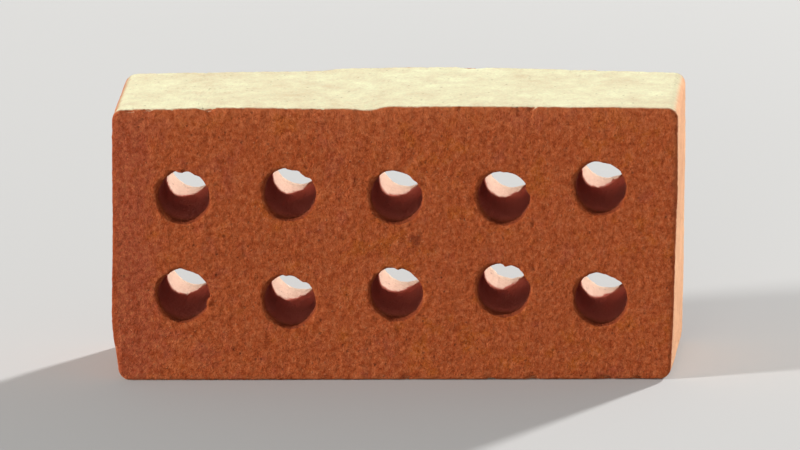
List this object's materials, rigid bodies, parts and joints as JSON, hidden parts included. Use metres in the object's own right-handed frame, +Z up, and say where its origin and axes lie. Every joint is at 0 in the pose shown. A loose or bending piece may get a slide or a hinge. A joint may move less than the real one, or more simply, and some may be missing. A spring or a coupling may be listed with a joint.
{
  "type": "perforated clay brick",
  "caption": "Extruded, wire-cut red clay brick with two rows of round through holes, standing on its long narrow face.",
  "frame": {"origin": "middle of the long narrow face that the brick stands on", "axes": "+X along the length, towards the end where the last two holes stand closer together; +Y through the thickness, away from the viewer; +Z up the width"},
  "size_m": [0.23, 0.075, 0.113],
  "materials": {
    "fired_clay": "matt, unglazed, gritty"
  },
  "bodies": {
    "root": {"clay_brick": "fired_clay"}
  },
  "joints": []
}
